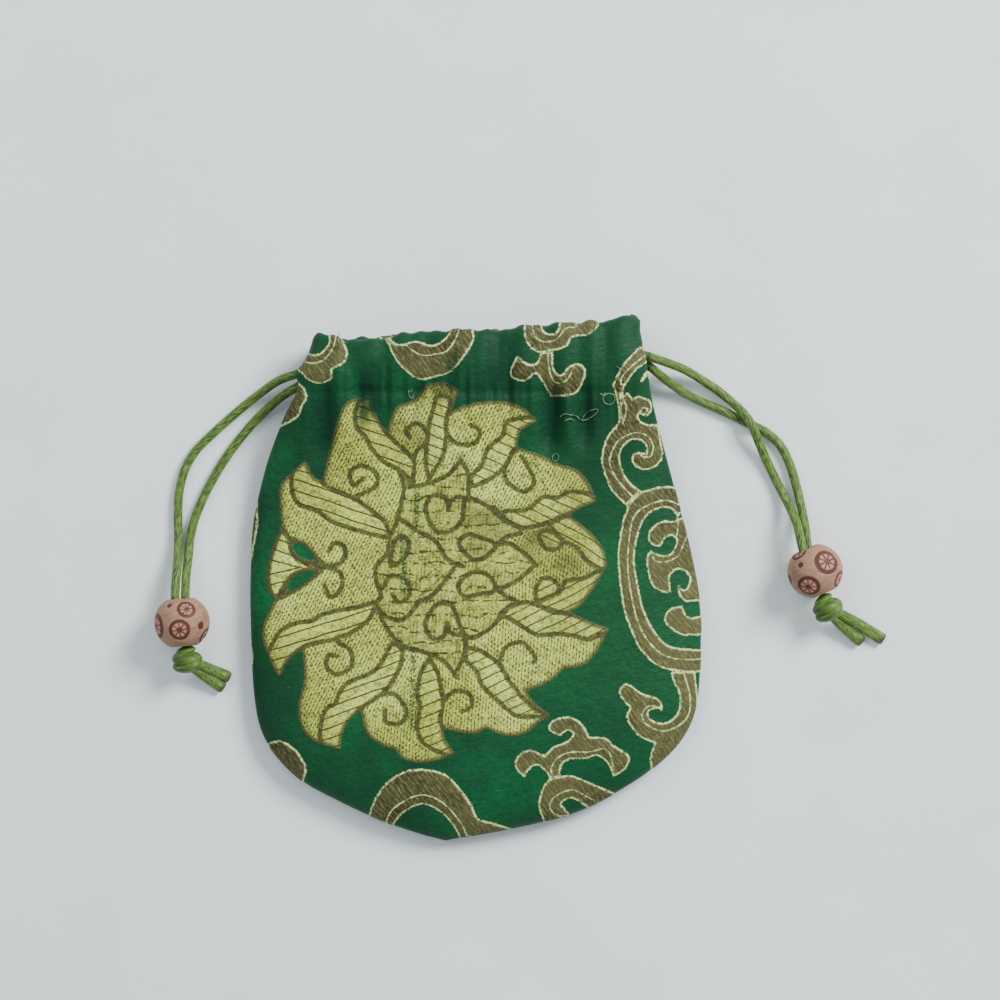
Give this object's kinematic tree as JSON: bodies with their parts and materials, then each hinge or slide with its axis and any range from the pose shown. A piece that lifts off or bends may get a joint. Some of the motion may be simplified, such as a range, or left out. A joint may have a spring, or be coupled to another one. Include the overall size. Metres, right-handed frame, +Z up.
{
  "type": "brocade drawstring pouch",
  "caption": "Small flat-lying drawstring purse of satin brocade with a gathered mouth, stitched cord tunnels, satin cords, wooden beads and knots.",
  "frame": {"origin": "on the table under the middle of the bag's box, measured without its cords", "axes": "+X across the bag to the right, +Y towards its mouth, +Z up from the table it lies on"},
  "size_m": [0.1612, 0.1152, 0.0164],
  "materials": {
    "brocade": "green satin ground with woven pale gold lotus and taupe scrolls",
    "gold_weave": "pale gold brocade floats, slightly metallic",
    "taupe_weave": "ribbed taupe brocade",
    "cord": "satin rattail cord",
    "bead_wood": "matt wood with printed brown wheels"
  },
  "bodies": {
    "root": {"front_panel": "brocade", "back_panel": "brocade", "left_cord_in_casing": "cord", "right_cord_in_casing": "cord", "left_cord_upper": "cord", "left_cord_lower": "cord", "right_cord_upper": "cord", "right_cord_lower": "cord", "left_bead": "bead_wood", "right_bead": "bead_wood", "left_knot": "cord", "right_knot": "cord", "left_tail_long": "cord", "left_tail_short": "cord", "right_tail_long": "cord", "right_tail_short": "cord"}
  },
  "joints": []
}
